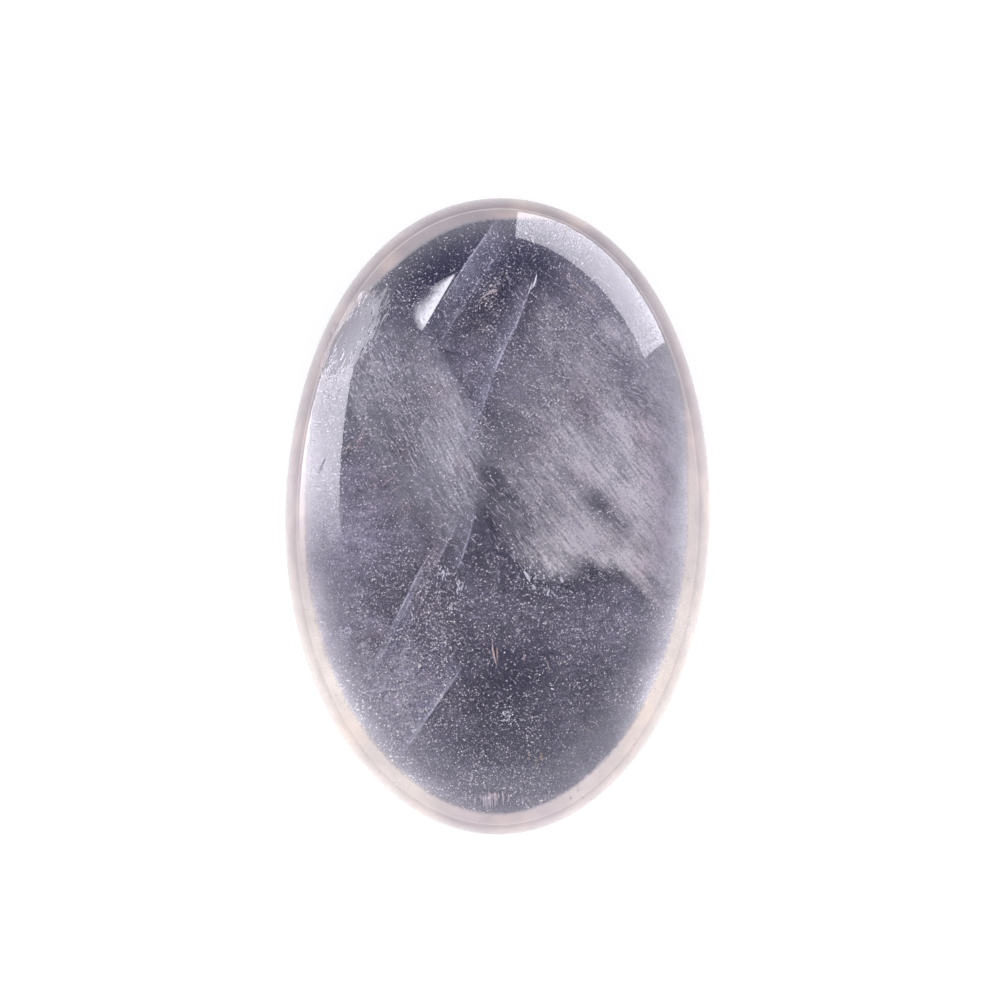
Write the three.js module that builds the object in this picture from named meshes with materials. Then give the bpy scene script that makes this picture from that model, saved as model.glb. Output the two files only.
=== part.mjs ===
// A palm stone: one piece of quartz, cut to an oval that fills the palm and tumbled to a wet gloss.
// Millimetres, +Z up. The long axis runs along Y and +Y is the blunter end.
// The origin is at the bottom centre, on the small flat spot that the stone rests on.

import * as THREE from "three";

// Outline, seen from above
const HALF_WIDTH = 20;
const HALF_LENGTH = 30;
const BLUNTNESS = 0.018; // how far the shoulders of the oval stand out past an ellipse, as a share
const LEAN = 0.17; // how far the blunt end leans towards +X, and the other end away from it
const BOW = 0.15; // how far both ends stand towards +X of the waist

// Faces: each one leaves the outline upright, turns over in a tight girdle arc, and then flattens
// through its shoulder into a low dome. Tilts are in degrees from level.
const CROWN = { girdleInset: 1.0, girdleTilt: 58, shoulderTilt: 38, shoulderFall: 2.7, domeTilt: 10 };
const UNDERSIDE = { girdleInset: 0.5, girdleTilt: 72, shoulderTilt: 60, shoulderFall: 3.2, domeTilt: 10 };
const SHOULDER_POWER = 1.2; // how abruptly a shoulder ends
const FLAT_HALF_WIDTH = 6.5; // half the width of the flat spot

// Fineness of the mesh
const POINTS_ROUND = 96;
const GIRDLE_RINGS = 4;
const FACE_RINGS = 14;
const RING_CROWDING = 1.6; // above 1, rings stand closer together near the girdle
const CLIMB_STEPS = 20;

// A point of the oval that runs parallel to the outline at the given inset.
// Towards the middle the oval shortens faster than it narrows, so that it closes to a point.
function ovalPoint(angle, inset) {
  const cos = Math.cos(angle);
  const sin = Math.sin(angle);
  const share = inset / HALF_WIDTH;
  const halfWidth = HALF_WIDTH - inset;
  const halfLength = HALF_LENGTH - inset - (HALF_LENGTH - HALF_WIDTH) * share ** 2;
  const bulge = BLUNTNESS * (1 + sin);
  const sideways = LEAN * sin + BOW * (1 - (1 - sin) * cos ** 2);
  const x = halfWidth * cos * (1 + bulge * sin ** 2) + sideways * (1 - share);
  const y = halfLength * sin * (1 + bulge * cos ** 2);
  return [x, y];
}

// Tilt of a face, at a distance inwards from where its girdle arc ends
function faceTilt(face, distance) {
  const shoulder = face.shoulderTilt * Math.exp(-((distance / face.shoulderFall) ** SHOULDER_POWER));
  const dome = face.domeTilt * (1 - distance / (HALF_WIDTH - face.girdleInset));
  return THREE.MathUtils.degToRad(shoulder + dome);
}

// Height that a face gains between two such distances, summed in short straight steps
function faceClimb(face, from, to) {
  const step = (to - from) / CLIMB_STEPS;
  let height = 0;
  for (let i = 0; i < CLIMB_STEPS; i += 1) {
    height += Math.tan(faceTilt(face, from + (i + 0.5) * step)) * step;
  }
  return height;
}

// Rings of one face, from the outline inwards to the last inset: how far in and how far from the
// outline's level each one lies
function faceRings(face, lastInset) {
  const girdleTilt = THREE.MathUtils.degToRad(face.girdleTilt);
  const radius = face.girdleInset / (1 - Math.sin(girdleTilt));
  const rings = [];
  for (let i = 0; i <= GIRDLE_RINGS; i += 1) {
    const tilt = THREE.MathUtils.lerp(Math.PI / 2, girdleTilt, i / GIRDLE_RINGS);
    rings.push({ inset: radius * (1 - Math.sin(tilt)), rise: radius * Math.cos(tilt) });
  }
  const span = lastInset - face.girdleInset;
  let rise = rings[GIRDLE_RINGS].rise;
  let distance = 0;
  for (let i = 1; i <= FACE_RINGS; i += 1) {
    const next = span * (i / FACE_RINGS) ** RING_CROWDING;
    rise += faceClimb(face, distance, next);
    distance = next;
    rings.push({ inset: face.girdleInset + distance, rise });
  }
  return rings;
}

// All rings of the stone from the flat spot up over the girdle to the ring below the crown's peak,
// and the peak itself
function stoneProfile() {
  const crown = faceRings(CROWN, HALF_WIDTH);
  const underside = faceRings(UNDERSIDE, HALF_WIDTH - FLAT_HALF_WIDTH);
  const girdleHeight = underside[underside.length - 1].rise;
  const below = underside.slice(1).reverse().map((r) => ({ inset: r.inset, height: girdleHeight - r.rise }));
  const above = crown.slice(0, -1).map((r) => ({ inset: r.inset, height: girdleHeight + r.rise }));
  const peakHeight = girdleHeight + crown[crown.length - 1].rise;
  return { rings: [...below, ...above], peakHeight };
}

// One closed skin: a fan over the flat spot, bands between the rings, and a fan over the peak
function stoneGeometry() {
  const { rings, peakHeight } = stoneProfile();
  const positions = [];
  for (const { inset, height } of rings) {
    for (let j = 0; j < POINTS_ROUND; j += 1) {
      positions.push(...ovalPoint((2 * Math.PI * j) / POINTS_ROUND, inset), height);
    }
  }
  const flatCentre = positions.length / 3;
  positions.push(0, 0, 0);
  const peak = flatCentre + 1;
  positions.push(0, 0, peakHeight);

  const triangles = [];
  const at = (ring, j) => ring * POINTS_ROUND + (j % POINTS_ROUND);
  for (let j = 0; j < POINTS_ROUND; j += 1) {
    triangles.push(flatCentre, at(0, j + 1), at(0, j));
    for (let ring = 0; ring < rings.length - 1; ring += 1) {
      triangles.push(at(ring, j), at(ring, j + 1), at(ring + 1, j + 1));
      triangles.push(at(ring, j), at(ring + 1, j + 1), at(ring + 1, j));
    }
    triangles.push(at(rings.length - 1, j), at(rings.length - 1, j + 1), peak);
  }

  const geometry = new THREE.BufferGeometry();
  geometry.setAttribute("position", new THREE.Float32BufferAttribute(positions, 3));
  geometry.setIndex(triangles);
  geometry.computeBoundingBox();
  const { min, max } = geometry.boundingBox;
  geometry.translate(-(min.x + max.x) / 2, -(min.y + max.y) / 2, 0);
  geometry.computeVertexNormals();
  return geometry;
}

// Clear to milky quartz with a faint lavender cast, polished
const quartz = new THREE.MeshStandardMaterial({ color: 0xb9b5c2, roughness: 0.05, metalness: 0 });
const stone = new THREE.Mesh(stoneGeometry(), quartz);
stone.name = "palm_stone";

const group = new THREE.Group();
group.add(stone);

export default group;
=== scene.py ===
import math

import bpy
import numpy as np
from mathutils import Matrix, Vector


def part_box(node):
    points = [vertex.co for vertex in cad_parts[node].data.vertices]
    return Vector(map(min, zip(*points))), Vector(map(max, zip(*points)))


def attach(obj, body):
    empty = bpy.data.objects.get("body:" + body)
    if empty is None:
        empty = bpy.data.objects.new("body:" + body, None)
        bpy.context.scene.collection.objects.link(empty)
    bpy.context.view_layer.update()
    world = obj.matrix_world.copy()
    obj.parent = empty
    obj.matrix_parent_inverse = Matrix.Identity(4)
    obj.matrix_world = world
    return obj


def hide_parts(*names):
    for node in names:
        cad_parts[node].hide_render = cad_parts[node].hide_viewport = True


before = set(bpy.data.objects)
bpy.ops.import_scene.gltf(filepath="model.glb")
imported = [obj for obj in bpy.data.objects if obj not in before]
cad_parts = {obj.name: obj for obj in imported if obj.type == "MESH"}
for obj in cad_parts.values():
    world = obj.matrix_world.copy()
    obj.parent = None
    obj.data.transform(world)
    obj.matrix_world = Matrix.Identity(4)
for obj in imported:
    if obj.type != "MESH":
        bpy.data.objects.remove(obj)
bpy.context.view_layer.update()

# THE STONE
# One piece of clear quartz with a lavender grey cast, sawn from rough, ground to an oval and
# tumbled until it looks wet. It lies on a small flat spot, and its faces are still a little wavy
# from the hand that held it to the wheel.
MM = 0.001
stone_low, stone_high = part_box("palm_stone")
HALF_WIDTH = (stone_high.x - stone_low.x) / 2 / MM
HALF_LENGTH = (stone_high.y - stone_low.y) / 2 / MM
BLUNTNESS = 0.018  # how far the shoulders of the oval stand out past an ellipse, as a share
LEAN = 0.17  # how far the blunt end leans towards +X, and the other end away from it
BOW = 0.15  # how far both ends stand towards +X of the waist
FLAT_HALF_WIDTH = 6.5
WAVINESS = 0.012  # how far the hand-held faces dip
POINTS_ROUND = 288
GIRDLE_RINGS = 10
FACE_RINGS = 52


def oval_points(angle, inset):
    """Points of the oval that runs parallel to the outline at an inset, all in millimetres."""
    cos, sin = np.cos(angle), np.sin(angle)
    share = inset / HALF_WIDTH
    half_width = HALF_WIDTH - inset
    half_length = HALF_LENGTH - inset - (HALF_LENGTH - HALF_WIDTH) * share**2
    bulge = BLUNTNESS * (1 + sin)
    sideways = LEAN * sin + BOW * (1 - (1 - sin) * cos**2)
    x = half_width * cos * (1 + bulge * sin**2) + sideways * (1 - share)
    y = half_length * sin * (1 + bulge * cos**2)
    return x, y


def face_profile(girdle_inset, girdle_tilt, shoulder_tilt, shoulder_fall, dome_tilt):
    """How far in, and how far from the outline's level, a face lies from the outline to its middle."""
    arc_tilt = np.radians(np.linspace(90, girdle_tilt, GIRDLE_RINGS))
    radius = girdle_inset / (1 - math.sin(math.radians(girdle_tilt)))
    inset, rise = radius * (1 - np.sin(arc_tilt)), radius * np.cos(arc_tilt)
    distance = (HALF_WIDTH - girdle_inset) * np.linspace(0, 1, FACE_RINGS) ** 1.6
    shoulder = shoulder_tilt * np.exp(-((distance / shoulder_fall) ** 1.2))
    slope = np.tan(np.radians(shoulder + dome_tilt * (1 - distance / distance[-1])))
    climb = np.cumsum((slope[1:] + slope[:-1]) / 2 * np.diff(distance))
    return np.append(inset, girdle_inset + distance[1:]), np.append(rise, rise[-1] + climb)


crown_inset, crown_rise = face_profile(1.0, 58, 38, 2.7, 10)
under_inset, under_rise = face_profile(0.5, 72, 60, 3.2, 10)
girdle_height = float(np.interp(HALF_WIDTH - FLAT_HALF_WIDTH, under_inset, under_rise))


def crown_height(inset):
    return girdle_height + np.interp(inset, crown_inset, crown_rise)


def under_height(inset):
    return np.maximum(girdle_height - np.interp(inset, under_inset, under_rise), 0)


def ring_surface(insets, heights, angles):
    """Vertices of stacked rings, and the quads that join each ring to the next."""
    points = []
    for inset, height in zip(insets, heights):
        x, y = oval_points(angles, inset)
        points.append(np.stack([x, y, np.full_like(x, height)], axis=1))
    count = len(angles)
    ring = np.arange(len(insets) - 1)[:, None] * count
    here, after = np.arange(count), (np.arange(count) + 1) % count
    quads = np.stack([ring + here, ring + after, ring + count + after, ring + count + here], axis=2)
    return np.concatenate(points), quads.reshape(-1, 4).tolist()


def put_in_place(name, mesh):
    """The object that shows a finished mesh and rides on the stone's body."""
    piece = bpy.data.objects.new(name, mesh)
    bpy.context.scene.collection.objects.link(piece)
    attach(piece, "root")
    return piece


def make_piece(name, points, faces, material):
    """A smooth piece from points in millimetres."""
    mesh = bpy.data.meshes.new(name)
    mesh.from_pydata((np.asarray(points) * MM).tolist(), [], faces)
    mesh.polygons.foreach_set("use_smooth", [True] * len(mesh.polygons))
    mesh.materials.append(material)
    return put_in_place(name, mesh)


def linear(hex_colour):
    """An sRGB hex colour as the linear values that Blender's sockets take."""
    channels = [int(hex_colour[i : i + 2], 16) / 255 for i in (1, 3, 5)]
    return [c / 12.92 if c <= 0.04045 else ((c + 0.055) / 1.055) ** 2.4 for c in channels] + [1.0]


def add_node(tree, kind, settings=None, **links):
    """Adds a node. settings are attributes or input values, and links are sockets for its inputs."""
    node = tree.nodes.new(kind)
    for key, value in (settings or {}).items():
        if isinstance(key, int) or key in node.inputs:
            node.inputs[key].default_value = value
        else:
            setattr(node, key, value)
    for key, socket in links.items():
        name = key.replace("_", " ")
        index = int(key[2:]) if key.startswith("in") and key[2:].isdigit() else name
        tree.links.new(socket, node.inputs[index])
    return node


def new_material(name):
    """An empty node material, and its tree."""
    material = bpy.data.materials.new(name)
    material.use_nodes = True
    material.node_tree.nodes.clear()
    return material, material.node_tree


# Just under the skin of the girdle the quartz is milky, so the oval has a pale rim. Its width in
# millimetres, how light it is painted, and how much of it strays on inwards as mist are given every 30
# degrees, from +X round towards +Y. How light it is, is painted light and shade for how light falls on each
# side.
RIM_WIDTHS = (2.5, 1.6, 1.6, 2.3, 2.5, 1.55, 2.25, 2.35, 2.6, 2.4, 2.6, 2.5)
# Painted light and shade: how light the rim is painted on each side.
RIM_PAINTED_LIGHTS = (0.60, 0.24, 0.08, 0.04, 0.12, 0.22, 0.50, 0.80, 0.72, 0.36, 0.60, 0.80)
MIST_SHARES = (0.76, 0.56, 0.30, 0.13, 0.07, 0.18, 0.50, 0.86, 0.66, 0.27, 0.27, 0.88)
CREASE_HIGHLIGHT_INSET = 1.35  # where a pale line is painted as a highlight, just inside where the girdle meets the shoulder


def around_the_oval(shares, angles):
    """Smooth values between ones that are given at every 30 degrees."""
    place = (np.degrees(angles) % 360) / 30
    low = np.floor(place).astype(int)
    ease = (1 - np.cos(np.pi * (place - low))) / 2
    shares = np.array(shares)
    return shares[low % 12] * (1 - ease) + shares[(low + 1) % 12] * ease


def ripple(x, y, across, along, lean, seed):
    """A random smooth field of about unit size, whose blobs measure across by along, leaning by an
    angle from +X towards +Y."""
    rng = np.random.default_rng(seed)
    waves = 40
    a = math.radians(lean)
    u, v = x * math.cos(a) + y * math.sin(a), y * math.cos(a) - x * math.sin(a)
    ku, kv = rng.normal(0, 1, waves) / along, rng.normal(0, 1, waves) / across
    phase = rng.uniform(0, 2 * np.pi, waves)
    return math.sqrt(2 / waves) * np.cos(u[..., None] * ku + v[..., None] * kv + phase).sum(-1)


def blob(x, y, cx, cy, rx, ry, lean=0.0):
    """1 in the middle of a soft oval spot, fading to nothing about twice its radii away."""
    a = math.radians(lean)
    dx, dy = x - cx, y - cy
    u, v = dx * math.cos(a) + dy * math.sin(a), dy * math.cos(a) - dx * math.sin(a)
    return np.exp(-((u / rx) ** 2) - (v / ry) ** 2)


# Where pores stand thicker or thinner than usual: by how much, and the soft spot's middle and radii.
PORE_CLUSTERS = (
    (0.25, -10, -5, 6, 9), (0.6, -3, -25, 10, 4), (0.7, -11.5, -16, 4, 7), (0.3, 6, 15, 6, 7),
    (0.5, -10.5, 20.5, 2.5, 1.5), (0.3, 12, -12, 4, 6), (-0.45, -5, 24.5, 4, 3, 30),
    (-0.25, 0, 23, 4, 3), (0.35, -8, -19, 3, 4), (0.3, 3.5, -12.5, 4, 5))


def pore_share(x, y):
    """How thickly fluid-filled pores stand in the quartz at a place. 1 is usual."""
    share = 0.8 + 0.18 * ripple(x, y, 2.5, 4, -40, 3) + 0.12 * ripple(x, y, 0.9, 0.9, 0, 4)
    for more, *spot in PORE_CLUSTERS:
        share += more * blob(x, y, *spot)
    return np.clip(share, 0.1, 1.6)


# Polished quartz: IOR 1.544. The cast is light that the whole thickness takes up, so the core looks
# slate grey. The milk is a share of the skin that scatters light and doesn't let it through.
SKIN_GRAIN = 0.18  # the grain of the mist, and how far apart pores lie at the skin
FRAY_SIZE = 0.5  # of the tongues along the milky rim's border
MOTTLE_SIZE = 3  # of the paler spots in the rim and its mist
BLUSH_SIZE = 6  # of the rosy stains in the rim
PIT_SIZE = 0.35  # of the pits in the polish
CHIP_SIZE = 0.3  # of the chips in the nick
quartz, tree = new_material("polished_quartz")
place = add_node(tree, "ShaderNodeTexCoord").outputs["Object"]
inset, rim_edge, rim_light, mist_share, thickness = (
    add_node(tree, "ShaderNodeAttribute", {"attribute_name": key}).outputs["Fac"]
    for key in ("inset", "rim_edge", "rim_light", "mist_share", "pore_share"))

# The milky rim ends in a frayed border, and a gritty mist strays on from there.
fray = add_node(tree, "ShaderNodeTexNoise", {
    "Scale": 1 / (FRAY_SIZE * MM), "Detail": 3.0, "Roughness": 0.6}, Vector=place).outputs["Fac"]
frayed = add_node(tree, "ShaderNodeMath", {"operation": "MULTIPLY_ADD", 1: 0.35},
                  in0=fray, in2=rim_edge).outputs[0]
cover = add_node(tree, "ShaderNodeMapRange", {
    "interpolation_type": "SMOOTHSTEP", "From Min": -0.12, "From Max": 0.5}, Value=frayed).outputs[0]
fade = add_node(tree, "ShaderNodeMapRange", {"From Min": -5.2, "From Max": 0.25}, Value=frayed).outputs[0]
drift = add_node(tree, "ShaderNodeMath", {"operation": "POWER", 1: 3.2}, in0=fade).outputs[0]
grit = add_node(tree, "ShaderNodeTexNoise", {
    "Scale": 1 / (SKIN_GRAIN * MM), "Detail": 1.0}, Vector=place).outputs["Fac"]
gritty = add_node(tree, "ShaderNodeMapRange", {
    "From Min": 0.3, "From Max": 0.7, "To Min": 0.8, "To Max": 1.2}, Value=grit).outputs[0]
grainy = add_node(tree, "ShaderNodeMath", {"operation": "MULTIPLY"}, in0=drift, in1=gritty).outputs[0]
mottle = add_node(tree, "ShaderNodeTexNoise", {
    "Scale": 1 / (MOTTLE_SIZE * MM), "Detail": 4.0}, Vector=place).outputs["Fac"]
swirl = add_node(tree, "ShaderNodeMapRange", {
    "From Min": 0.3, "From Max": 0.7, "To Min": 0.75, "To Max": 1.2}, Value=mottle).outputs[0]
swirled = add_node(tree, "ShaderNodeMath", {"operation": "MULTIPLY"}, in0=grainy, in1=swirl).outputs[0]
mist = add_node(tree, "ShaderNodeMath", {"operation": "MULTIPLY"}, in0=swirled, in1=mist_share).outputs[0]
density = add_node(tree, "ShaderNodeMapRange", {
    "From Min": 0.35, "From Max": 0.65, "To Min": 0.80, "To Max": 0.95}, Value=mottle).outputs[0]
band = add_node(tree, "ShaderNodeMath", {"operation": "MULTIPLY"}, in0=cover, in1=density).outputs[0]

# Pores at the skin: one to a cell, each with its own size and glint.
pores = add_node(tree, "ShaderNodeTexVoronoi", {"Scale": 1 / (SKIN_GRAIN * MM)}, Vector=place).outputs
luck = add_node(tree, "ShaderNodeSeparateColor", Color=pores["Color"]).outputs
bulk = add_node(tree, "ShaderNodeMath", {"operation": "MULTIPLY"}, in0=thickness, in1=luck[0]).outputs[0]
radius = add_node(tree, "ShaderNodeMath", {"operation": "MULTIPLY", 1: 0.44}, in0=bulk).outputs[0]
within = add_node(tree, "ShaderNodeMath", {"operation": "SUBTRACT"},
                  in0=radius, in1=pores["Distance"]).outputs[0]
spot = add_node(tree, "ShaderNodeMapRange", {"From Max": 0.12}, Value=within).outputs[0]
glint = add_node(tree, "ShaderNodeMath", {"operation": "POWER", 1: 1.7}, in0=luck[1]).outputs[0]
pore = add_node(tree, "ShaderNodeMath", {"operation": "MULTIPLY"}, in0=spot, in1=glint).outputs[0]
spotted = add_node(tree, "ShaderNodeMath", {"operation": "MULTIPLY_ADD", 1: 0.6},
                   in0=pore, in2=mist).outputs[0]

# A patch on the left shoulder was torn in the grinding: fine grooves that the polish didn't reach.
patch = add_node(tree, "ShaderNodeMapping", {
    "vector_type": "TEXTURE", "Location": (-13.1 * MM, 17.2 * MM, 12.8 * MM),
    "Rotation": (0, 0, math.radians(55)), "Scale": (5.5 * MM, 2.3 * MM, 8.0 * MM)}, Vector=place).outputs[0]
ground = add_node(tree, "ShaderNodeTexGradient", {"gradient_type": "SPHERICAL"}, Vector=patch).outputs["Fac"]
grooved = add_node(tree, "ShaderNodeMapping", {
    "vector_type": "TEXTURE", "Rotation": (0, 0, math.radians(66)),
    "Scale": (1.1 * MM, 0.17 * MM, 0.8 * MM)}, Vector=place).outputs[0]
grooves = add_node(tree, "ShaderNodeTexNoise", {"Scale": 1.0, "Detail": 3.0}, Vector=grooved).outputs["Fac"]
thick = add_node(tree, "ShaderNodeMath", {"operation": "MULTIPLY_ADD", 1: 0.31},
                 in0=ground, in2=grooves).outputs[0]
rip = add_node(tree, "ShaderNodeMapRange", {"From Min": 0.56, "From Max": 0.63}, Value=thick).outputs[0]
reach = add_node(tree, "ShaderNodeMapRange", {"From Max": 0.15}, Value=ground).outputs[0]
torn = add_node(tree, "ShaderNodeMath", {"operation": "MULTIPLY"}, in0=rip, in1=reach).outputs[0]
scuffed = add_node(tree, "ShaderNodeMath", {"operation": "MULTIPLY_ADD", 1: 0.15},
                   in0=torn, in2=spotted).outputs[0]
milk = add_node(tree, "ShaderNodeMath", {"operation": "MAXIMUM"}, in0=band, in1=scuffed).outputs[0]
clear = add_node(tree, "ShaderNodeMath", {"operation": "SUBTRACT", 0: 1.0, "use_clamp": True},
                 in1=milk).outputs[0]

# The rim's colour, partly its own tint and partly painted light and shade: lighter or darker on each
# side of the oval as light falls, a real rosy blush in places, a painted shade along the outline and
# just outside the crease, and a painted highlight on the crease.
# Painted light and shade round the oval, from a shaded mauve to a lit cream.
painted_light_tone = add_node(tree, "ShaderNodeValToRGB", Fac=rim_light)
painted_light_tone.color_ramp.elements[0].color = linear("#A0959E")
painted_light_tone.color_ramp.elements[1].color = linear("#F6ECE4")
painted_light_tone.color_ramp.elements.new(0.5).color = linear("#CBBEC3")
blush = add_node(tree, "ShaderNodeTexNoise", {
    "Scale": 1 / (BLUSH_SIZE * MM), "Detail": 2.0}, Vector=place).outputs["Fac"]
blushed = add_node(tree, "ShaderNodeMapRange", {
    "From Min": 0.5, "From Max": 0.75, "To Max": 0.4}, Value=blush).outputs[0]
rosy = add_node(tree, "ShaderNodeMix", {"data_type": "RGBA", 7: linear("#E8CDBE")},
                in0=blushed, in6=painted_light_tone.outputs[0]).outputs[2]
# Painted shade across the girdle: darker along the outline and just outside the crease, paler on it.
from_edge = add_node(tree, "ShaderNodeMath", {"operation": "DIVIDE", 1: 2 * CREASE_HIGHLIGHT_INSET}, in0=inset)
across = add_node(tree, "ShaderNodeValToRGB", Fac=from_edge.outputs[0])
stops = across.color_ramp.elements
stops[0].color = linear("#D2CCD1")
stops[1].color = linear("#FFFFFF")
for position, grey in ((0.07, "#FFFFFF"), (0.46, "#EDEBEE"), (0.52, "#FAF9FA")):
    stops.new(position).color = linear(grey)
shaded = add_node(tree, "ShaderNodeMix", {"data_type": "RGBA", "blend_type": "MULTIPLY", 0: 1.0},
                  in6=rosy, in7=across.outputs[0]).outputs[2]
# A painted highlight on the crease, stronger on the darker sides of the rim's painted light and shade.
on_crease_highlight = add_node(tree, "ShaderNodeMath", {"operation": "COMPARE", 1: CREASE_HIGHLIGHT_INSET, 2: 0.06},
                     in0=inset).outputs[0]
in_shade = add_node(tree, "ShaderNodeMapRange", {"To Min": 0.25, "To Max": 0.05}, Value=rim_light).outputs[0]
line = add_node(tree, "ShaderNodeMath", {"operation": "MULTIPLY"}, in0=on_crease_highlight, in1=in_shade).outputs[0]
crease_highlighted = add_node(tree, "ShaderNodeMix", {"data_type": "RGBA", 7: linear("#FFFFFF")},
                   in0=line, in6=shaded).outputs[2]

# Wear in the polish: pits, hairline scratches, and one nick on the left.
pock = add_node(tree, "ShaderNodeTexNoise", {
    "Scale": 1 / (PIT_SIZE * MM), "Detail": 1.0}, Vector=place).outputs["Fac"]
pit = add_node(tree, "ShaderNodeMapRange", {
    "From Min": 0.70, "From Max": 0.76, "To Max": 0.8}, Value=pock).outputs[0]
combed = add_node(tree, "ShaderNodeMapping", {
    "vector_type": "TEXTURE", "Rotation": (0, 0, math.radians(-65)),
    "Scale": (0.7 * MM, 0.09 * MM, 0.3 * MM)}, Vector=place).outputs[0]
scratch = add_node(tree, "ShaderNodeTexNoise", {"Scale": 1.0, "Detail": 1.0}, Vector=combed).outputs["Fac"]
scratched = add_node(tree, "ShaderNodeMapRange", {
    "From Min": 0.68, "From Max": 0.78, "To Max": 0.5}, Value=scratch).outputs[0]
nick = add_node(tree, "ShaderNodeMapping", {
    "vector_type": "TEXTURE", "Location": (-16.2 * MM, 4.7 * MM, 12.5 * MM),
    "Rotation": (0, 0, math.radians(65)), "Scale": (2.0 * MM, 0.26 * MM, 5.0 * MM)}, Vector=place).outputs[0]
in_nick = add_node(tree, "ShaderNodeTexGradient", {"gradient_type": "SPHERICAL"}, Vector=nick).outputs["Fac"]
chips = add_node(tree, "ShaderNodeTexNoise", {
    "Scale": 1 / (CHIP_SIZE * MM), "Detail": 2.0}, Vector=place).outputs["Fac"]
chipped = add_node(tree, "ShaderNodeMath", {"operation": "MULTIPLY"}, in0=in_nick, in1=chips).outputs[0]
nicked = add_node(tree, "ShaderNodeMapRange", {"From Min": 0.14, "From Max": 0.28}, Value=chipped).outputs[0]
marked = add_node(tree, "ShaderNodeMath", {"operation": "MAXIMUM"}, in0=pit, in1=scratched).outputs[0]
worn = add_node(tree, "ShaderNodeMath", {"operation": "MAXIMUM"}, in0=marked, in1=nicked).outputs[0]

# Inside the rim, mist is bluish and pores are nearly white.
# Pits darken the rim's colour, which carries painted light, painted shade and a painted crease highlight.
pits_and_painted_light = add_node(tree, "ShaderNodeMix", {"data_type": "RGBA", 7: linear("#8E848C")},
                  in0=worn, in6=crease_highlighted).outputs[2]
misty = add_node(tree, "ShaderNodeMapRange", {"From Max": 0.12}, Value=mist).outputs[0]
haze = add_node(tree, "ShaderNodeMix", {
    "data_type": "RGBA", 6: linear("#FFFFFF"), 7: linear("#D0CBDC")}, in0=misty).outputs[2]
starry = add_node(tree, "ShaderNodeMix", {"data_type": "RGBA", 7: linear("#F8F1F3")},
                  in0=pore, in6=haze).outputs[2]
colour = add_node(tree, "ShaderNodeMix", {"data_type": "RGBA"}, in0=cover, in6=starry, in7=pits_and_painted_light).outputs[2]
groove = add_node(tree, "ShaderNodeMath", {"operation": "MULTIPLY"}, in0=grooves, in1=ground).outputs[0]
relief = add_node(tree, "ShaderNodeBump", {"Strength": 1.0, "Distance": 0.12 * MM}, Height=groove)
rubbed = add_node(tree, "ShaderNodeMath", {"operation": "MAXIMUM"}, in0=worn, in1=torn).outputs[0]
rough = add_node(tree, "ShaderNodeMapRange", {"To Min": 0.02, "To Max": 0.65}, Value=rubbed).outputs[0]
shine = add_node(tree, "ShaderNodeBsdfPrincipled", {"IOR": 1.544}, Base_Color=colour,
                 Transmission_Weight=clear, Roughness=rough, Normal=relief.outputs[0])
cast = add_node(tree, "ShaderNodeVolumeAbsorption", {"Color": linear("#B2B3D0"), "Density": 330.0})
add_node(tree, "ShaderNodeOutputMaterial", Surface=shine.outputs[0], Volume=cast.outputs[0])

around = np.linspace(0, 2 * np.pi, POINTS_ROUND, endpoint=False)
flat_inset = HALF_WIDTH - FLAT_HALF_WIDTH
below = under_inset[(under_inset < flat_inset) & (under_inset > 0)][::-1]
insets = np.concatenate([[flat_inset], below, crown_inset[:-1]])
heights = np.concatenate([[0], under_height(below), crown_height(crown_inset[:-1])])
points, faces = ring_surface(insets, heights, around)
last_ring = len(points) - POINTS_ROUND
points = np.concatenate([points, [[0, 0, 0], [0, 0, crown_height(HALF_WIDTH)]]])
for j in range(POINTS_ROUND):
    k = (j + 1) % POINTS_ROUND
    faces.append([len(points) - 2, k, j])
    faces.append([last_ring + j, last_ring + k, len(points) - 1])
x, y, z = points.T
wave = np.sin(x / 2.9 + 0.7) * np.sin(y / 3.7 + 0.4) + 0.6 * np.sin(x / 1.7 - y / 2.3 + 1.9)
points[:, 2] -= WAVINESS * (1 + wave / 1.6) * np.clip((z - girdle_height) / 2, 0, 1)
stone = make_piece("quartz_body", points, faces, quartz)
ring_inset = np.append(np.repeat(insets, POINTS_ROUND), [flat_inset, HALF_WIDTH])
ring_angle = np.append(np.tile(around, len(insets)), [0, 0])

# Below the girdle the milky band wanders, softens and sinks into mist, without the painted shade along
# the outline and the painted highlight on the crease. At 75 degrees the rim is pinched. The shoulder of
# the upper half has the fewest pores at its skin.
below_girdle = girdle_height - z
sunk = np.clip(below_girdle / 1.5, 0, 1)
wander = sunk * (0.3 + 0.9 * ripple(x, y, 3.5, 3.5, 0, 8) - 0.25 * below_girdle)
pinch = 0.35 * np.exp(-(((np.degrees(ring_angle) - 75) / 7) ** 2))
rim_border = (around_the_oval(RIM_WIDTHS, ring_angle) - pinch + wander - ring_inset) * (1 - 0.75 * sunk)
smoothest = np.exp(-(((ring_inset - 2.8) / 1.7) ** 2)) * np.clip((y + 4) / 4, 0, 1)
# The inset that places the painted outline shade and painted crease highlight, kept off them below the
# girdle.
painted_shade_inset = ring_inset * (1 - sunk) + (0.2 + 0.5 * ring_inset) * sunk
painted_shade_inset = np.where(below_girdle > 0, np.minimum(painted_shade_inset, 0.9), painted_shade_inset)
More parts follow.
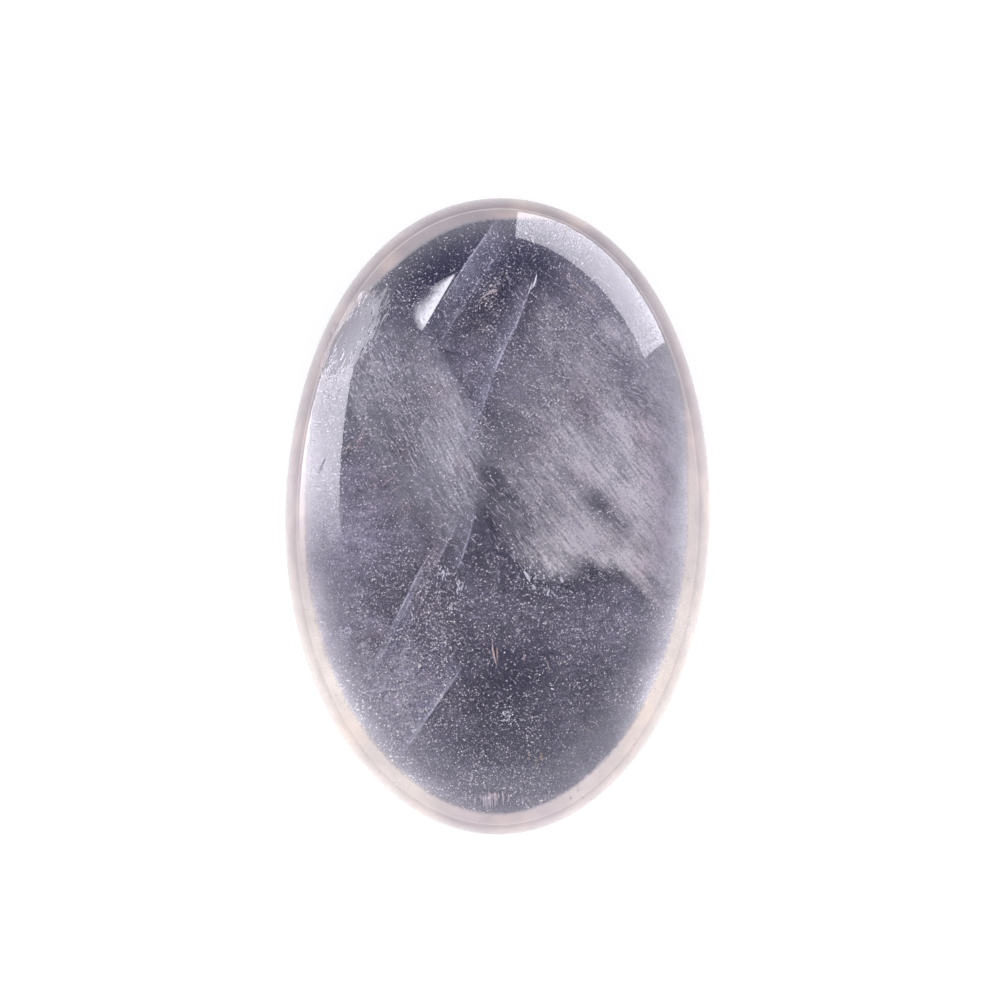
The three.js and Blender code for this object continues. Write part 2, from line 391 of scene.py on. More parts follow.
# The skin also carries how light the rim is painted on each side, as painted light and shade.
skin_values = {"inset": painted_shade_inset, "rim_edge": rim_border,
               "rim_light": around_the_oval(RIM_PAINTED_LIGHTS, ring_angle),
               "mist_share": np.maximum(around_the_oval(MIST_SHARES, ring_angle), 0.6 * sunk),
               "pore_share": pore_share(x, y) * (1 - 0.75 * smoothest)}
for key, values in skin_values.items():
    stone.data.attributes.new(key, "FLOAT", "POINT").data.foreach_set("value", values.astype(np.float32))
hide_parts("palm_stone")

# DUST IN THE QUARTZ
# Thousands of fluid-filled pores, each a tenth of a millimetre across, were trapped as the crystal
# grew. They catch the light as white specks, thickest where the growth was fast.
DUST_SIZE = 0.118
SURFACE_MARGIN = 0.35  # nothing in the quartz comes nearer to its skin than this, measured upright


def inset_at(x, y):
    """How far in from the outline a place lies, found by halving."""
    low, high = np.zeros_like(x), np.full_like(x, HALF_WIDTH)
    for _ in range(24):
        middle = (low + high) / 2
        half_length = HALF_LENGTH - middle - (HALF_LENGTH - HALF_WIDTH) * (middle / HALF_WIDTH) ** 2
        inside = (x / (HALF_WIDTH - middle)) ** 2 + (y / half_length) ** 2 < 1
        low, high = np.where(inside, middle, low), np.where(inside, high, middle)
    return low


def scatter_tree():
    """Geometry nodes that strew small eight-sided grains over a carrier mesh. The carrier's milk
    attribute thins them, reach spreads them up and down, and grain gives their long way."""
    tree = bpy.data.node_groups.new("strewn_flakes", "GeometryNodeTree")
    face = tree.interface
    face.new_socket("Geometry", in_out="INPUT", socket_type="NodeSocketGeometry")
    for name, kind in (("Density", "Float"), ("Seed", "Int"), ("Width", "Float"), ("Length", "Float"),
                       ("Disorder", "Float"), ("Finish", "Material")):
        face.new_socket(name, in_out="INPUT", socket_type="NodeSocket" + kind)
    face.new_socket("Geometry", in_out="OUTPUT", socket_type="NodeSocketGeometry")
    given = add_node(tree, "NodeGroupInput").outputs
    milk = add_node(tree, "GeometryNodeInputNamedAttribute", {"Name": "milk"}).outputs[0]
    thinned = add_node(tree, "ShaderNodeMath", {"operation": "MULTIPLY"}, in0=milk, in1=given["Density"])
    strewn = add_node(tree, "GeometryNodeDistributePointsOnFaces", Mesh=given["Geometry"],
                      Density=thinned.outputs[0], Seed=given["Seed"])
    reach = add_node(tree, "GeometryNodeInputNamedAttribute", {"Name": "reach"}).outputs[0]
    lift = add_node(tree, "FunctionNodeRandomValue", {"data_type": "FLOAT", 2: -1.0, 3: 1.0},
                    Seed=given["Seed"])
    lifted = add_node(tree, "ShaderNodeMath", {"operation": "MULTIPLY"}, in0=lift.outputs[1], in1=reach)
    upright = add_node(tree, "ShaderNodeCombineXYZ", Z=lifted.outputs[0])
    spread = add_node(tree, "GeometryNodeSetPosition", Geometry=strewn.outputs[0], Offset=upright.outputs[0])
    grain = add_node(tree, "GeometryNodeInputNamedAttribute", {"data_type": "FLOAT_VECTOR", "Name": "grain"})
    combed = add_node(tree, "FunctionNodeAlignRotationToVector", Vector=grain.outputs[0])
    unit = add_node(tree, "FunctionNodeRandomValue", {
        "data_type": "FLOAT_VECTOR", 0: (-1, -1, -1), 1: (1, 1, 1)}, Seed=given["Seed"])
    tilt = add_node(tree, "ShaderNodeVectorMath", {"operation": "SCALE"},
                    in0=unit.outputs[0], Scale=given["Disorder"])
    turned = add_node(tree, "FunctionNodeRotateRotation", in0=combed.outputs[0], in1=tilt.outputs[0])
    luck = add_node(tree, "FunctionNodeRandomValue", {"data_type": "FLOAT", 2: 0.0, 3: 1.0, "ID": 7},
                    Seed=given["Seed"])
    rare = add_node(tree, "ShaderNodeMath", {"operation": "POWER", 1: 3.0}, in0=luck.outputs[1]).outputs[0]
    grown = add_node(tree, "ShaderNodeMath", {"operation": "MULTIPLY_ADD", 1: 1.2, 2: 0.5},
                     in0=rare).outputs[0]
    wide, far = (
        add_node(tree, "ShaderNodeMath", {"operation": "MULTIPLY"}, in0=grown, in1=given[way]).outputs[0]
        for way in ("Width", "Length"))
    size = add_node(tree, "ShaderNodeCombineXYZ", X=wide, Y=wide, Z=far)
    flake = add_node(tree, "GeometryNodeMeshUVSphere", {"Segments": 4, "Rings": 2, "Radius": 0.5})
    copies = add_node(tree, "GeometryNodeInstanceOnPoints", Points=spread.outputs[0],
                      Instance=flake.outputs["Mesh"], Rotation=turned.outputs[0], Scale=size.outputs[0])
    real = add_node(tree, "GeometryNodeRealizeInstances", Geometry=copies.outputs[0])
    finished = add_node(tree, "GeometryNodeSetMaterial", Geometry=real.outputs[0], Material=given["Finish"])
    add_node(tree, "NodeGroupOutput", Geometry=finished.outputs[0])
    return tree


strewn_flakes = scatter_tree()


def strew(name, points, quads, milk, reach, grain, material, **inputs):
    """Flakes over a carrier, made real as one mesh. Sizes are in millimetres, density is in flakes
    per square millimetre."""
    mesh = bpy.data.meshes.new(name + "_carrier")
    mesh.from_pydata((np.asarray(points) * MM).tolist(), [], quads)
    for key, values in (("milk", milk), ("reach", reach * MM)):
        mesh.attributes.new(key, "FLOAT", "POINT").data.foreach_set("value", np.asarray(values, np.float32))
    mesh.attributes.new("grain", "FLOAT_VECTOR", "POINT").data.foreach_set(
        "vector", np.asarray(grain, np.float32).ravel())
    carrier = bpy.data.objects.new(name + "_carrier", mesh)
    bpy.context.scene.collection.objects.link(carrier)
    nodes = carrier.modifiers.new("flakes", "NODES")
    nodes.node_group = strewn_flakes
    given = {"Density": inputs["density"] / MM**2, "Seed": inputs["seed"], "Width": inputs["width"] * MM,
             "Length": inputs["length"] * MM, "Disorder": inputs["disorder"], "Finish": material}
    for item in strewn_flakes.interface.items_tree:
        if item.name in given:
            nodes[item.identifier] = given[item.name]
    shown = carrier.evaluated_get(bpy.context.evaluated_depsgraph_get())
    result = bpy.data.meshes.new_from_object(shown)
    result.name = name
    bpy.data.objects.remove(carrier)
    piece = put_in_place(name, result)


def oval_carrier(first_inset, top_margin, depth):
    """A fine oval sheet inside the stone. Returns its points, quads and how far flakes may stray up
    and down from it to fill the layer from top_margin under the crown to depth under it."""
    rings, points_round = 60, 180
    insets = first_inset + (HALF_WIDTH - 0.2 - first_inset) * np.linspace(0, 1, rings)
    angles = np.linspace(0, 2 * np.pi, points_round, endpoint=False)
    points, quads = ring_surface(insets, np.zeros(rings), angles)
    inset = np.repeat(insets, points_round)
    top = crown_height(inset) - top_margin
    bottom = np.maximum(crown_height(inset) - depth, under_height(inset) + SURFACE_MARGIN)
    points[:, 2] = (top + bottom) / 2
    return points, quads, (top - bottom) / 2


def dull(name, colour):
    """A finish that scatters light and has no shine, as the walls of a pore inside the quartz do."""
    material, tree = new_material(name)
    matt = add_node(tree, "ShaderNodeBsdfPrincipled", {
        "Base Color": linear(colour), "Roughness": 0.8, "Specular IOR Level": 0.0})
    add_node(tree, "ShaderNodeOutputMaterial", Surface=matt.outputs[0])
    return material


bright_pore = dull("fluid_pore_bright", "#FAF3F3")
dim_pore = dull("fluid_pore_dim", "#CCC4CB")
points, quads, reach = oval_carrier(1.6, SURFACE_MARGIN, 2.2)
x, y = points[:, 0], points[:, 1]
milk = pore_share(x, y)
grain = np.tile([0.0, 0.0, 1.0], (len(points), 1))
strew("dust_bright", points, quads, milk, reach, grain, bright_pore,
      density=11.0, seed=11, width=DUST_SIZE, length=DUST_SIZE, disorder=3.1)
strew("dust_dim", points, quads, milk, reach, grain, dim_pore,
      density=12.0, seed=31, width=DUST_SIZE, length=DUST_SIZE, disorder=3.1)

# WISPS
# Short fibres fan out over the right half, all combed one way by the growth of the crystal, and end
# below in a ragged border. A steeper lot runs down the left, between two old cracks.
points, quads, reach = oval_carrier(2.2, 0.5, 3.0)
x, y = points[:, 0], points[:, 1]
cloud = blob(x, y, 12, 4, 8, 10, -30) + 0.7 * blob(x, y, 7, -1, 6, 5) + 0.5 * blob(x, y, 5, 12, 6, 8)
cloud *= np.clip(1.1 + 0.8 * ripple(x, y, 0.8, 4.5, -52, 21), 0, 2)
border = -5.0 - 1.0 * np.sin(x / 2.4)
cloud *= 1 / (1 + np.exp(-(y - border) / 0.5))
lean = np.radians(-50 + 10 * ripple(x, y, 6, 6, 0, 5))
grain = np.stack([np.cos(lean), np.sin(lean), np.zeros_like(x)], axis=1)
strew("wisps_right", points, quads, np.clip(cloud, 0, 2), reach, grain, dim_pore,
      density=10.0, seed=12, width=0.07, length=0.6, disorder=0.25)
cloud = blob(x, y, -8, 9, 4, 11, 25) * np.clip(1 + 0.8 * ripple(x, y, 0.8, 4.5, -62, 22), 0, 2)
lean = np.radians(-60 + 8 * ripple(x, y, 6, 6, 0, 6))
grain = np.stack([np.cos(lean), np.sin(lean), np.zeros_like(x)], axis=1)
strew("wisps_left", points, quads, np.clip(cloud, 0, 2), reach, grain, dim_pore,
      density=9.0, seed=13, width=0.065, length=0.6, disorder=0.2)

# VEILS
# Cracks that healed while the crystal still grew left sheets of fine milk in it. The broad ones
# lie almost level, each combed by its own direction of growth, and some end at an old crack.
VEIL_THICKNESS = 0.06
VEIL_SPACING = 0.4
PUFF_SIZE = 2.2  # of the clouds that the milk in a veil gathers in
GRIT_SIZE = 0.2  # of its grain
STAIN_SIZE = 4  # of the faint rosy stains in it


def step(distance, softness):
    """0 well before a border and 1 well past it."""
    return 1 / (1 + np.exp(-distance / softness))


def veil_material(name, colour, lean, across, along, contrast, mottling=0.35):
    """Milk whose opacity is the mesh's milk attribute, broken into streaks that lean by an angle and
    measure along by across. The streaks differ by contrast, and puffs and grit by mottling."""
    material, tree = new_material(name)
    place = add_node(tree, "ShaderNodeTexCoord").outputs["Object"]
    turned = add_node(tree, "ShaderNodeMapping", {
        "vector_type": "TEXTURE", "Rotation": (0, 0, math.radians(lean)),
        "Scale": (along * MM, across * MM, across * MM)}, Vector=place).outputs[0]
    puffs = {"Scale": 1 / (PUFF_SIZE * MM), "Detail": 4.0, "Roughness": 0.6}
    streaks = {"Scale": 1.0, "Detail": 3.0, "Roughness": 0.65}
    grit = {"Scale": 1 / (GRIT_SIZE * MM), "Detail": 1.0}
    opacity = add_node(tree, "ShaderNodeAttribute", {"attribute_name": "milk"}).outputs["Fac"]
    for pattern, at, low, difference in ((puffs, place, 0.35, mottling), (streaks, turned, 0.3, contrast),
                                         (grit, place, 0.35, mottling)):
        shades = add_node(tree, "ShaderNodeTexNoise", pattern, Vector=at).outputs["Fac"]
        share = add_node(tree, "ShaderNodeMapRange", {
            "From Min": low, "From Max": 1 - low, "To Min": 1 - difference, "To Max": 1 + difference},
            Value=shades).outputs[0]
        opacity = add_node(tree, "ShaderNodeMath", {"operation": "MULTIPLY"},
                           in0=opacity, in1=share).outputs[0]
    held = add_node(tree, "ShaderNodeMath", {"operation": "MINIMUM", 1: 1.0}, in0=opacity).outputs[0]
    stain = add_node(tree, "ShaderNodeTexNoise", {
        "Scale": 1 / (STAIN_SIZE * MM), "Detail": 2.0}, Vector=place).outputs["Fac"]
    stained = add_node(tree, "ShaderNodeMapRange", {
        "From Min": 0.55, "From Max": 0.70, "To Max": 0.6}, Value=stain).outputs[0]
    rosy = add_node(tree, "ShaderNodeMix", {
        "data_type": "RGBA", 6: linear(colour), 7: linear("#EAD9D6")}, in0=stained).outputs[2]
    matt = add_node(tree, "ShaderNodeBsdfPrincipled", {"Roughness": 0.9, "Specular IOR Level": 0.0},
                    Base_Color=rosy, Alpha=held)
    add_node(tree, "ShaderNodeOutputMaterial", Surface=matt.outputs[0])
    return material


def make_veil(name, points, quads, milk, material):
    """A sheet with its milk attribute, given its thickness and made one closed mesh."""
    mesh = bpy.data.meshes.new(name + "_sheet")
    mesh.from_pydata((np.asarray(points) * MM).tolist(), [], quads)
    mesh.attributes.new("milk", "FLOAT", "POINT").data.foreach_set("value", np.asarray(milk, np.float32))
    mesh.polygons.foreach_set("use_smooth", [True] * len(mesh.polygons))
    mesh.materials.append(material)
    sheet = bpy.data.objects.new(name + "_sheet", mesh)
    bpy.context.scene.collection.objects.link(sheet)
    wall = sheet.modifiers.new("thickness", "SOLIDIFY")
    wall.thickness, wall.offset = VEIL_THICKNESS * MM, 0
    result = bpy.data.meshes.new_from_object(sheet.evaluated_get(bpy.context.evaluated_depsgraph_get()))
    result.name = name
    bpy.data.objects.remove(sheet)
    piece = put_in_place(name, result)


def broad_veil(name, depth, milk, material):
    """A veil that spreads at a depth under the crown, kept where its milk shows."""
    xs = np.arange(-18, 18.01, VEIL_SPACING)
    ys = np.arange(-28, 28.01, VEIL_SPACING)
    x, y = (a.ravel() for a in np.meshgrid(xs, ys))
    inset = inset_at(x, y)
    z = np.maximum(crown_height(inset) - depth(x, y), under_height(inset) + SURFACE_MARGIN)
    opacity = np.clip(milk(x, y), 0, 1)
    shown = (opacity > 0.01) & (inset > 1.5)
    here = (np.arange(len(ys) - 1)[:, None] * len(xs) + np.arange(len(xs) - 1)).ravel()
    quads = np.stack([here, here + 1, here + 1 + len(xs), here + len(xs)], axis=1)
    quads = quads[shown[quads].all(axis=1)]
    used, quads = np.unique(quads, return_inverse=True)
    points = np.stack([x, y, z], axis=1)[used]
    make_veil(name, points, quads.reshape(-1, 4).tolist(), opacity[used], material)


def left_milk(x, y):
    """Milk between two old cracks, from the upper left border of the stone down to its middle."""
    torn = ripple(x, y, 0.5, 2.5, -62, 44)
    left = np.interp(y, [-3, 2.5, 8, 14, 20], [-6.2, -8.8, -12, -15.5, -18]) + 0.8 * torn
    right = np.interp(y, [-3, -0.3, 6.3, 17, 22], [-3.2, -2.2, -1.2, -7, -10]) + 0.25 * torn
    cloud = 0.29 + 0.25 * blob(x, y, -4.5, 5.5, 4, 6) + 0.05 * blob(x, y, -13, 18, 3, 5)
    cloud *= 1 + 0.25 * ripple(x, y, 1.2, 4, -62, 41)
    cloud *= step(x - left, 1.2) * step(right - x, 0.5)
    return cloud * step(y + 2.5, 1.4) * (0.15 + 0.85 * step(15.0 - y, 1.3)) * step(21 - y, 1.0)


broad_veil("veil_left", lambda x, y: 1.2 + 0.02 * x, left_milk,
           veil_material("milk_combed_steep", "#F3F0EE", -62, 0.22, 2.4, 0.7, 0.25))


def right_milk(x, y):
    """Milk over the right half, with a ragged lower border and darker gaps where it was torn."""
    torn = ripple(x, y, 0.5, 2.5, -50, 45)
    lower = np.interp(x, [-1, 1.2, 4.5, 9.7, 14, 18], [0.5, -2.7, -5.4, -4.0, -6, -8]) + 0.7 * torn
    left = np.interp(y, [-4, 4, 12, 18, 24], [2.4, 1.9, 2.2, 3.6, 6]) + 0.5 * torn
    cloud = 0.33 + 0.42 * blob(x, y, 12.5, 0, 7, 9, -30) + 0.40 * blob(x, y, 8, -3, 5, 3.5)
    cloud += 0.25 * blob(x, y, 14, -4, 5, 4) + 0.24 * blob(x, y, 16.5, 8, 3.5, 9, 12)
    cloud *= np.clip(1 + 0.36 * ripple(x, y, 0.7, 2.6, -52, 42), 0.15, 2)
    return cloud * step(y - lower, 0.5) * step(x - left, 1.3) * step(22 - y, 2.5)


broad_veil("veil_right", lambda x, y: 1.3 + 0.02 * y, right_milk,
           veil_material("milk_combed_slanting", "#F8F3EA", -50, 0.26, 2.4, 0.65, 0.3))


def low_milk(x, y):
    """A thin mist all over, thicker in the lower left and gone in the clear crescent at the upper left."""
    cloud = 0.085 + 0.04 * ripple(x, y, 3, 5, -35, 43) + 0.42 * blob(x, y, -11, -17, 5, 8, -25)
    cloud += 0.12 * blob(x, y, -0.5, 13.5, 4.5, 5) + 0.16 * blob(x, y, 12, -9, 8, 4)
    cloud += 0.04 * blob(x, y, -2, -25, 8, 3) + 0.20 * blob(x, y, -15, -6, 3, 8)
    cloud += 0.10 * blob(x, y, -10, -2, 5, 5) + 0.24 * blob(x, y, -13, 1, 4, 5)
    cloud *= (1 - 0.98 * blob(x, y, -7, 23.5, 7, 6, 30)) * (1 - 0.95 * blob(x, y, 4, 23, 6, 5))
    return np.clip(cloud, 0.0, 1)


broad_veil("veil_low", lambda x, y: 1.7 + 0 * x, low_milk,
           veil_material("milk_thin", "#EDE4E8", 3, 0.4, 3.0, 0.4))

# CRACKS
# Narrow healed cracks stand almost on edge, so from above each one is a pale line with a soft side.
# They are sheets of the same milk as the veils, and their bright lines are where the milk is folded.
CRACK_DEPTH = 0.9  # of their upper edge under the crown
LINE_WIDTH = 0.10
crack_milk = veil_material("milk_in_crack", "#E2E1EA", 61, 0.12, 3.0, 0.5)


def crack(name, start, end, width, drop, opacity, lines, haze):
    """A steep sheet under the line from start to end. It sinks by drop while it strays sideways by
    width. Its milk is a haze that thins out downwards, with a brighter line at each given share."""
    along, across = 81, 49
    s, t = (a.ravel() for a in np.meshgrid(np.linspace(0, 1, along), np.linspace(0, 1, across)))
    dx, dy = end[0] - start[0], end[1] - start[1]
    length = math.hypot(dx, dy)
    bend = 0.10 * ripple(s * length, 0 * s, 1, 2.5, 0, len(name))
    x = start[0] + dx * s + dy / length * (width * t + bend)
    y = start[1] + dy * s - dx / length * (width * t + bend)
    inset = inset_at(x, y)
    z = np.maximum(crown_height(inset) - CRACK_DEPTH - drop * t, under_height(inset) + SURFACE_MARGIN)
    milk = haze * (1 - t) * step(t, 0.02)
    for i, line in enumerate(lines):
        strength = 0.6 + 0.25 * ripple(s * length, t, 1, 0.8, 0, i)
        milk += np.exp(-(((t - line) * abs(width) / LINE_WIDTH) ** 2)) * strength
    milk *= opacity * np.sin(np.pi * np.clip(s, 0.02, 0.98)) ** 0.5
    here = (np.arange(across - 1)[:, None] * along + np.arange(along - 1)).ravel()
    quads = np.stack([here, here + 1, here + along + 1, here + along], axis=1)
    make_veil(name, np.stack([x, y, z], axis=1), quads.tolist(), np.clip(milk, 0, 1), crack_milk)


crack("crack_blunt_end", (0.3, 28.3), (-7.4, 16.2), -3.6, 1.5, 0.50, (0.03, 0.55), 0.5)
crack("crack_middle", (3.4, 21.6), (-3.0, 6.5), 1.8, 1.2, 0.44, (0.05,), 0.75)
crack("crack_low_left", (-5.6, -2.2), (-12.8, -15.8), -1.6, 1.0, 0.80, (0.04, 0.3, 0.62, 0.95), 0.5)
crack("crack_low_middle", (-3.4, -13.8), (-9.4, -23.0), 2.0, 1.5, 0.60, (0.04, 0.6), 0.8)
crack("crack_centre", (-1.8, 0.8), (-3.6, -5.0), 0.8, 1.0, 0.50, (0.1, 0.8), 0.5)
crack("crack_centre_left", (-3.6, -0.5), (-5.8, -5.2), 0.9, 1.0, 0.45, (0.2, 0.7), 0.4)

# THE FEATHER
# One crack by the blunt end gapes a little. Its walls throw back all the light, so it shines white,
# straight along the crack and ragged on the other side.
FEATHER_TIP = (-3.9, 22.3)
FEATHER_FOOT = (-6.9, 17.1)
FEATHER_WIDTH = 2.9
FEATHER_DEPTH = 0.45  # of its straight edge under the crown
FEATHER_DROP = 0.4  # from there to its ragged edge
FEATHER_ALONG, FEATHER_ACROSS = 61, 31  # points in its sheet

s, t = (a.ravel() for a in np.meshgrid(np.linspace(0, 1, FEATHER_ALONG), np.linspace(0, 1, FEATHER_ACROSS)))
run = np.subtract(FEATHER_FOOT, FEATHER_TIP)
length = math.hypot(*run)
breadth = FEATHER_WIDTH * np.clip(s, 0.03, 1) ** 0.7 * np.clip(1 - s**5, 0.1, 1) ** 0.5
x = FEATHER_TIP[0] + run[0] * s + run[1] / length * breadth * t
y = FEATHER_TIP[1] + run[1] * s - run[0] / length * breadth * t
ragged = 0.09 * ripple(s * length, t * breadth, 0.5, 0.35, 0, 61)
milk = step(0.42 + ragged - t, 0.18) * step(0.93 - s, 0.06) * step(s, 0.03) * step(t, 0.01)
here = (np.arange(FEATHER_ACROSS - 1)[:, None] * FEATHER_ALONG + np.arange(FEATHER_ALONG - 1)).ravel()
quads = np.stack([here, here + 1, here + FEATHER_ALONG + 1, here + FEATHER_ALONG], axis=1)
points = np.stack([x, y, crown_height(inset_at(x, y)) - FEATHER_DEPTH - FEATHER_DROP * t], axis=1)
make_veil("feather", points, quads.tolist(), 1.4 * milk,
          veil_material("gas_in_feather", "#FDFCFB", 60, 0.5, 1.5, 0.12, 0.12))

# FLECKS AND NEEDLES
# Larger pores and needle-shaped crystals lie by themselves near the crown: white flecks, a few rosy
# needles, two golden scratches of rutile and short stripes at the narrow end.
STATIONS = 7


def needles(name, rows, colour, depth=0.7):
    """Slender pieces, pointed at both ends, as one mesh. A row gives both ends, a width, and how far
    the middle bends sideways, in millimetres."""
    points, quads = [], []
    s = np.linspace(0, 1, STATIONS)
    for x0, y0, x1, y1, width, bend in rows:
        dx, dy = x1 - x0, y1 - y0
        length = math.hypot(dx, dy)
        aside = np.array([-dy / length, dx / length, 0])
        x = x0 + dx * s + aside[0] * bend * np.sin(np.pi * s)
        y = y0 + dy * s + aside[1] * bend * np.sin(np.pi * s)
        spine = np.stack([x, y, crown_height(inset_at(x, y)) - depth], axis=1)
        half = width / 2 * np.maximum(np.sin(np.pi * s) ** 0.7, 0.06)[:, None]
        first = sum(len(p) for p in points)
        upright = np.array([0, 0, 0.6])
        ring = [spine + half * aside, spine + half * upright, spine - half * aside, spine - half * upright]
        points.append(np.stack(ring, axis=1).reshape(-1, 3))
        for i in range(STATIONS - 1):
            for j in range(4):
                k = (j + 1) % 4
                a, b = first + 4 * i, first + 4 * i + 4
                quads.append([a + j, a + k, b + k, b + j])
        quads.append([first, first + 3, first + 2, first + 1])
        last = first + 4 * (STATIONS - 1)
        quads.append([last, last + 1, last + 2, last + 3])
    piece = make_piece(name, np.concatenate(points), quads, dull(name + "_finish", colour))


def sprinkle(cx, cy, spread, count, length, width, lean, seed):
    """Rows for a cluster of short needles about a place, leaning much the same way."""
    rng = np.random.default_rng(seed)
    rows = []
    for _ in range(count):
        x, y = cx + rng.normal(0, spread), cy + rng.normal(0, spread)
        a = math.radians(lean + rng.normal(0, 25))
        long = length * rng.uniform(0.5, 1.3)
        x1, y1 = x + long * math.cos(a), y + long * math.sin(a)
        rows.append((x, y, x1, y1, width * rng.uniform(0.6, 1.4), 0.0))
    return rows


white_rows = [(2.4, -4.9, 3.0, -6.0, 0.34, 0.05), (3.2, -6.2, 3.5, -6.7, 0.28, 0),
              (5.8, -5.5, 6.0, -6.1, 0.30, 0), (4.8, -6.6, 4.5, -7.3, 0.20, 0),
              (3.6, 22.4, 3.1, 20.9, 0.20, 0.1), (3.2, 21.6, 2.8, 20.4, 0.12, 0)]
for cx, cy, spread, count, length, width, lean in (
        (-14.0, -11.0, 0.5, 60, 0.20, 0.17, 60), (0.9, -18.4, 0.45, 50, 0.18, 0.12, 20),
        (-4.8, -5.2, 0.35, 26, 0.30, 0.10, 75), (-3.4, -6.6, 0.35, 26, 0.30, 0.10, 80),
        (-4.0, -8.3, 0.4, 22, 0.30, 0.08, 80), (-5.6, -6.9, 0.5, 18, 0.25, 0.07, 75),
        (2.9, -5.6, 0.7, 50, 0.22, 0.10, -50), (5.4, -6.2, 0.8, 40, 0.22, 0.10, -40),
        (-12.6, 18.5, 1.6, 90, 0.50, 0.05, -62), (-11.5, 14.5, 1.4, 60, 0.50, 0.05, -62)):
    white_rows += sprinkle(cx, cy, spread, count, length, width, lean, 51 + len(white_rows))
needles("flecks_white", white_rows, "#F4F4F7")

rng = np.random.default_rng(58)
cream_rows = [(-1.7, 19.9, 0.2, 20.9, 0.16, 0.2), (-1.3, 20.6, 0.1, 21.0, 0.12, 0),
              (-2.0, 17.2, -0.5, 17.0, 0.12, 0.1)]
cream_rows += sprinkle(-0.8, 20.4, 0.6, 40, 0.35, 0.07, 25, 57)
cream_rows += sprinkle(-1.4, 17.1, 0.6, 20, 0.3, 0.06, 0, 59)
stripes = []
for x in rng.normal(-0.4, 1.2, 34):
    top = -25.3 - rng.uniform(0, 0.5)
    stripes.append((x, top, x + 0.05, top - rng.uniform(0.5, 1.4), rng.uniform(0.08, 0.24), 0))
needles("stripes_rosy", stripes, "#F0E2E2", depth=0.4)
cream_rows += [(8.2, -18.8, 9.4, -19.6, 0.13, 0.25), (7.8, -19.0, 8.7, -19.8, 0.09, -0.2)]
cream_rows += [(7.2 + 0.45 * i, -22.6 + 0.15 * i, 8.6 + 0.4 * i, -24.0 + 0.3 * i, 0.06, 0)
               for i in range(5)]
needles("flecks_cream", cream_rows, "#CFC4BE")

rose_rows = [(-0.5, -11.5, -0.02, -13.8, 0.24, -0.1), (-0.05, -11.8, -0.02, -13.3, 0.12, 0),
             (2.4, -12.5, 2.5, -13.3, 0.12, 0), (4.5, -13.1, 4.8, -14.2, 0.10, 0),
             (5.4, -13.2, 5.8, -13.8, 0.08, 0),
             (-10.5, 2.8, -9.4, 3.7, 0.09, 0.1), (-10.0, 2.0, -9.0, 2.9, 0.07, 0)]
for i in range(7):
    rose_rows += sprinkle(-14.0 + 0.3 * i, 5.9 + 0.27 * i, 0.22, 5, 0.35, 0.07, 45, 70 + i)
rose_rows += sprinkle(-11.4, 3.2, 0.4, 12, 0.25, 0.07, 45, 80)
rose_rows += sprinkle(-8.5, 0.6, 0.5, 34, 0.22, 0.08, 60, 81)
needles("needles_rose", rose_rows, "#DCC6C2")

golden_rows = [(6.3 + 0.55 * i, 22 - 0.5 * i + lift, 6.8 + 0.55 * i, 21.5 - 0.5 * i + lift, 0.07, 0)
               for i in range(5) for lift in (0.0, 0.35)]
golden_rows += sprinkle(3.5, -22.8, 0.6, 16, 0.3, 0.09, 20, 91)
needles("needles_gold", golden_rows, "#CDBBA2")

# THE ROOM
# A pale table top, two windows reflected in the crown, and even daylight. None of it is the object.
TABLE_REACH = 2.0  # metres, in each direction
TABLE_GLOW = 0.20  # keeps it white round the stone
FLOOR_GAP = 0.03  # keeps the flat spot from sharing a plane with the table
PHOTO_WIDTH = 94.3  # what the picture takes in at the girdle, from side to side
LENS = 100
SENSOR = 36
AIM_X, AIM_Y = 0.23, 1.55  # the stone lies this far left of and below the picture's middle

paper, tree = new_material("table_paper")
matt = add_node(tree, "ShaderNodeBsdfPrincipled", {
    "Base Color": linear("#FDFDFD"), "Roughness": 0.7, "Specular IOR Level": 0.1,
    "Emission Color": linear("#FFFFFF"), "Emission Strength": TABLE_GLOW})
add_node(tree, "ShaderNodeOutputMaterial", Surface=matt.outputs[0])
corners = [(sx * TABLE_REACH, sy * TABLE_REACH, -FLOOR_GAP * MM)
           for sx, sy in ((-1, -1), (1, -1), (1, 1), (-1, 1))]
mesh = bpy.data.meshes.new("table")
mesh.from_pydata(corners, [], [(0, 1, 2, 3)])
mesh.materials.append(paper)
table = bpy.data.objects.new("table", mesh)
bpy.context.scene.collection.objects.link(table)


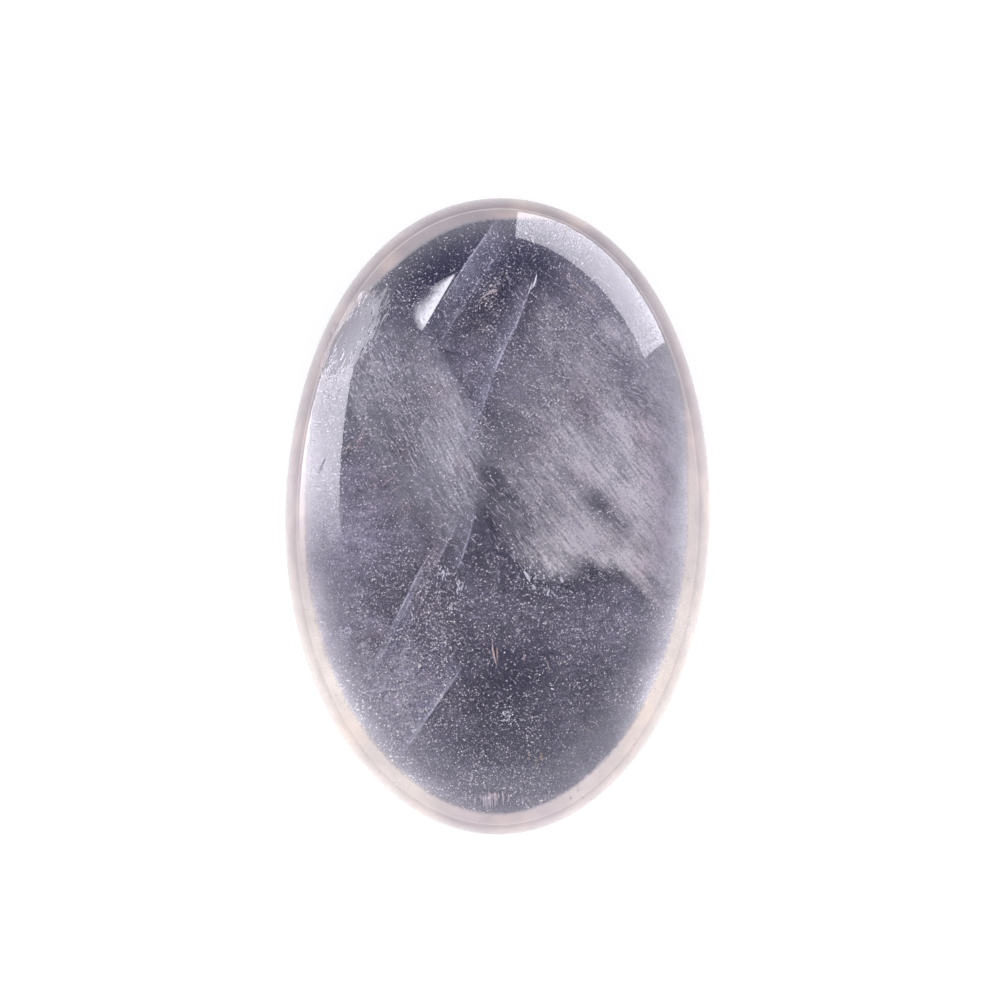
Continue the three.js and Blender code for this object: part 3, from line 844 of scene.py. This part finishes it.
def window(name, facing, distance, first, last, sill, top, radiance, dimming, fade):
    """An upright softbox, a distance away in the direction facing. It spans the directions first to
    last as the stone sees it, and the heights sill to top where it faces the stone squarely. All of
    them are in degrees, directions from +X round to +Y. Towards its top the radiance falls to the
    share dimming, and it fades out over the share fade before its last side."""
    from_side, to_side = (distance * math.tan(math.radians(a - facing)) for a in (first, last))
    low, high = (distance * math.tan(math.radians(a)) for a in (sill, top))
    lamp = bpy.data.lights.new(name, "AREA")
    lamp.shape = "RECTANGLE"
    lamp.size, lamp.size_y = abs(to_side - from_side), high - low
    lamp.energy = radiance * math.pi * lamp.size * lamp.size_y
    lamp.color = linear("#F4F0FA")[:3]
    lamp.use_nodes = True
    tree = lamp.node_tree
    on_panel = add_node(tree, "ShaderNodeNewGeometry").outputs["Parametric"]
    panel = add_node(tree, "ShaderNodeSeparateXYZ", Vector=on_panel).outputs
    upwards = add_node(tree, "ShaderNodeMapRange", {"To Min": 1.0, "To Max": dimming}, Value=panel["Y"])
    sideways = add_node(tree, "ShaderNodeMapRange", {
        "From Min": 1.0, "From Max": 1.0 - max(fade, 0.001)}, Value=panel["X"])
    glow = add_node(tree, "ShaderNodeMath", {"operation": "MULTIPLY"},
                    in0=upwards.outputs[0], in1=sideways.outputs[0])
    tree.links.new(glow.outputs[0], tree.nodes["Emission"].inputs["Strength"])
    holder = bpy.data.objects.new(name, lamp)
    bpy.context.scene.collection.objects.link(holder)
    a = math.radians(facing)
    out, aside = Vector((math.cos(a), math.sin(a), 0)), Vector((-math.sin(a), math.cos(a), 0))
    holder.location = out * distance + aside * (from_side + to_side) / 2 + Vector((0, 0, (low + high) / 2))
    holder.rotation_euler = out.to_track_quat("Z", "Y").to_euler()
    holder.visible_camera = False
    holder.visible_diffuse = False  # it is there for its reflection and shines into the quartz only


window("window_right", 54.5, 0.5, 25, 84, 4.5, 49.5, 10.3, 0.70, 0.0)
window("window_left", 208.5, 0.25, 142, 186.5, 5, 62, 10.0, 0.9, 0.16)

SIDES_GLOW = 1.50  # of the pale walls all round
CEILING_GLOW = 0.27  # of the dimmer ceiling, a little towards the blunt end of straight above
world = bpy.data.worlds.new("daylight")
world.use_nodes = True
world.node_tree.nodes["Background"].inputs["Color"].default_value = linear("#FFFFFF")
tree = world.node_tree
look = add_node(tree, "ShaderNodeVectorMath", {"operation": "DOT_PRODUCT", 1: (0, 0.25, 0.97)},
                in0=add_node(tree, "ShaderNodeTexCoord").outputs["Generated"])
ceiling = add_node(tree, "ShaderNodeMapRange", {
    "From Min": 0.72, "From Max": 0.93, "To Min": SIDES_GLOW, "To Max": CEILING_GLOW},
    Value=look.outputs["Value"])
tree.links.new(ceiling.outputs[0], tree.nodes["Background"].inputs["Strength"])
bpy.context.scene.world = world
bpy.context.scene.view_settings.view_transform = "Standard"
bpy.context.scene.cycles.transparent_max_bounces = 32  # enough to look through all the veils

lens = bpy.data.cameras.new("photo_camera")
lens.lens, lens.sensor_width = LENS, SENSOR
camera = bpy.data.objects.new("photo_camera", lens)
camera.location = (AIM_X * MM, AIM_Y * MM, (PHOTO_WIDTH / SENSOR * LENS + girdle_height) * MM)
bpy.context.scene.collection.objects.link(camera)
bpy.context.scene.camera = camera
